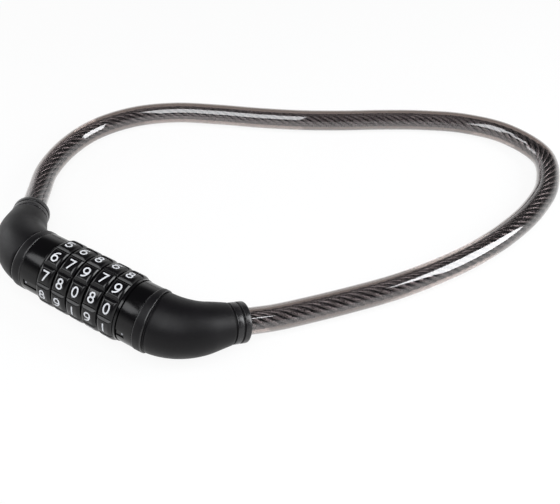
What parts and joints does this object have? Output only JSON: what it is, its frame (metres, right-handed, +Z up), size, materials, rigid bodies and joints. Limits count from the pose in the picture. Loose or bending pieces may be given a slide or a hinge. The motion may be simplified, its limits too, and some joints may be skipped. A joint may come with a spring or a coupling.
{
  "type": "combination cable lock",
  "caption": "Combination cable lock: numbered black dials on a barrel between soft elbow boots, joined by one thick smoke-clear jacketed steel cable.",
  "frame": {"origin": "on the surface the lock lies on, under the middle of the row of dials", "axes": "+X along the barrel towards the bolt end that pulls out, +Y towards the cable loop, +Z up"},
  "size_m": [0.251, 0.2462, 0.0305],
  "materials": {
    "smoke_jacket": "smooth smoke-brown clear plastic",
    "wire_rope": "dark twisted steel wire",
    "boot_rubber": "matt moulded soft plastic",
    "sleeve_gloss": "glossy black",
    "dial_satin": "satin black with white numbers",
    "spring_steel": "plain spring steel",
    "zinc_alloy": "die-cast zinc alloy, satin",
    "ring_brass": "turned brass",
    "bright_steel": "bright polished steel",
    "bolt_steel": "zinc-plated steel",
    "ferrule_metal": "crimped aluminium"
  },
  "bodies": {
    "barrel": {"cable_jacket": "smoke_jacket", "cable_core": "wire_rope", "fixed_elbow_boot": "boot_rubber", "fixed_end_sleeve": "sleeve_gloss", "end_flange_ring": "dial_satin", "retaining_clip": "spring_steel", "lock_core_tube": "zinc_alloy", "detent_balls": "bright_steel", "detent_springs": "spring_steel", "fixed_ferrule": "ferrule_metal", "fixed_cross_pin": "bright_steel"},
    "dial_1": {"dial_1": "dial_satin", "code_ring_1": "ring_brass"},
    "dial_2": {"dial_2": "dial_satin", "code_ring_2": "ring_brass"},
    "dial_3": {"dial_3": "dial_satin", "code_ring_3": "ring_brass"},
    "dial_4": {"dial_4": "dial_satin", "code_ring_4": "ring_brass"},
    "dial_5": {"dial_5": "dial_satin", "code_ring_5": "ring_brass"},
    "bolt": {"locking_bolt": "bolt_steel", "bolt_end_sleeve": "sleeve_gloss", "bolt_elbow_boot": "boot_rubber", "bolt_ferrule": "ferrule_metal", "bolt_cross_pin": "bright_steel"}
  },
  "joints": [
    {"name": "dial_1_turn", "type": "hinge", "parent": "barrel", "child": "dial_1", "pos_m": [-0.0166, 0, 0.01525], "axis": [1, 0, 0], "continuous": true},
    {"name": "dial_2_turn", "type": "hinge", "parent": "barrel", "child": "dial_2", "pos_m": [-0.0083, 0, 0.01525], "axis": [1, 0, 0], "continuous": true},
    {"name": "dial_3_turn", "type": "hinge", "parent": "barrel", "child": "dial_3", "pos_m": [0, 0, 0.01525], "axis": [1, 0, 0], "continuous": true},
    {"name": "dial_4_turn", "type": "hinge", "parent": "barrel", "child": "dial_4", "pos_m": [0.0083, 0, 0.01525], "axis": [1, 0, 0], "continuous": true},
    {"name": "dial_5_turn", "type": "hinge", "parent": "barrel", "child": "dial_5", "pos_m": [0.0166, 0, 0.01525], "axis": [1, 0, 0], "continuous": true},
    {"name": "bolt_pull", "type": "slide", "parent": "barrel", "child": "bolt", "axis": [1, 0, 0], "range_m": [0, 0.045], "deforming": ["cable_jacket", "cable_core"]}
  ]
}
